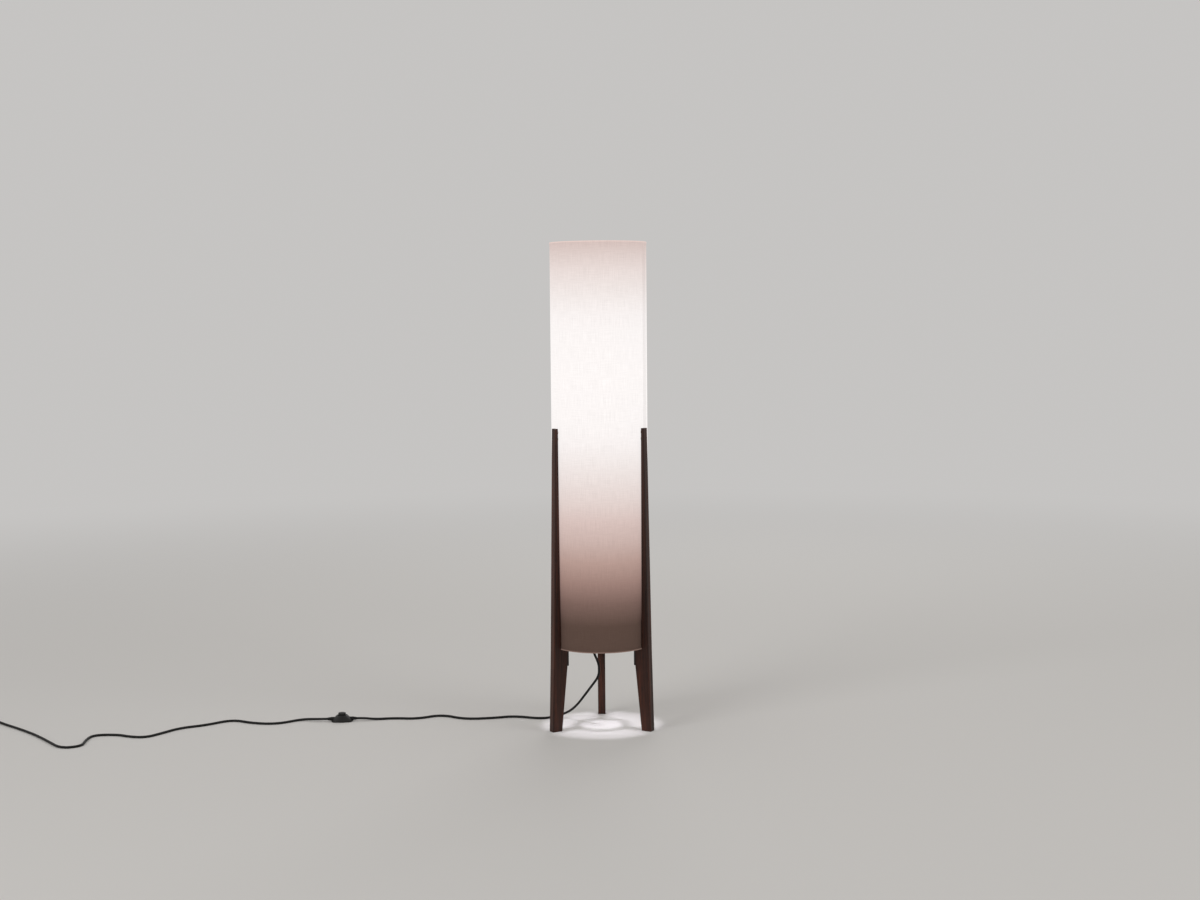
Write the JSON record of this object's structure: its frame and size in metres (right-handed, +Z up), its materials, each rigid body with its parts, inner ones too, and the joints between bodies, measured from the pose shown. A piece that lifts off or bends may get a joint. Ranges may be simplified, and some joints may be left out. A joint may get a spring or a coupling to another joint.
{
  "type": "floor lamp",
  "caption": "Column floor lamp: tall round fabric shade held between three tapered wooden legs, with an inner lampholder, a lead with a foot switch, and a plug.",
  "frame": {"origin": "on the floor, at the centre of the box of the lamp without its lead", "axes": "+Z up, +Y from the front towards the rear leg, the lead runs off along -X"},
  "size_m": [1.8334, 0.347, 1.2],
  "materials": {
    "walnut": "satin oil",
    "black_steel": "matt black powder coat",
    "zinc_screw": "zinc plated",
    "black_nylon": "moulded nylon",
    "natural_nylon": "natural nylon, undyed",
    "linen": "plain weave, off white",
    "shade_liner": "white styrene sheet",
    "white_wire": "white coated wire",
    "holder_plastic": "black thermoset",
    "ceramic": "white steatite",
    "brass": "bare brass",
    "bulb_metal": "rolled aluminium",
    "black_glass": "black insulator",
    "opal_glass": "opal white, lit",
    "lead_sheath": "black round sheath",
    "switch_plastic": "black moulded ABS",
    "soft_pvc": "soft black PVC",
    "spring_steel": "spring wire"
  },
  "bodies": {
    "lamp": {"leg_left": "walnut", "leg_right": "walnut", "leg_rear": "walnut", "lower_frame": "black_steel", "upper_frame": "black_steel", "lower_screws": "zinc_screw", "upper_screws": "zinc_screw", "switch_screws": "zinc_screw", "nipple_nut": "zinc_screw", "cord_gland": "black_nylon", "leg_spacers": "natural_nylon", "shade_skin": "linen", "shade_hem_bottom": "linen", "shade_hem_top": "linen", "shade_liner": "shade_liner", "shade_ring_bottom": "white_wire", "shade_ring_top": "white_wire", "holder_cap": "holder_plastic", "holder_body": "holder_plastic", "socket_insert": "ceramic", "holder_nipple": "brass", "socket_shell": "brass", "socket_contact": "brass", "switch_terminals": "brass", "plug_blades": "brass", "bulb_cap": "bulb_metal", "bulb_contact": "bulb_metal", "bulb_insulator": "black_glass", "bulb_glass": "opal_glass", "cord_lamp": "lead_sheath", "cord_mains": "lead_sheath", "cord_coil": "lead_sheath", "holder_lead": "lead_sheath", "switch_leads": "lead_sheath", "switch_cover": "switch_plastic", "switch_base": "switch_plastic", "switch_block": "switch_plastic", "switch_reliefs": "soft_pvc", "plug_body": "soft_pvc", "cord_tie": "soft_pvc", "switch_spring": "spring_steel"},
    "button": {"switch_button": "switch_plastic"}
  },
  "joints": [
    {"name": "button_press", "type": "slide", "parent": "lamp", "child": "button", "axis": [0, 0, -1], "range_m": [0, 0.003], "stiffness_N_per_m": 1200, "springref_m": -0.001, "deforming": ["switch_spring"]}
  ]
}
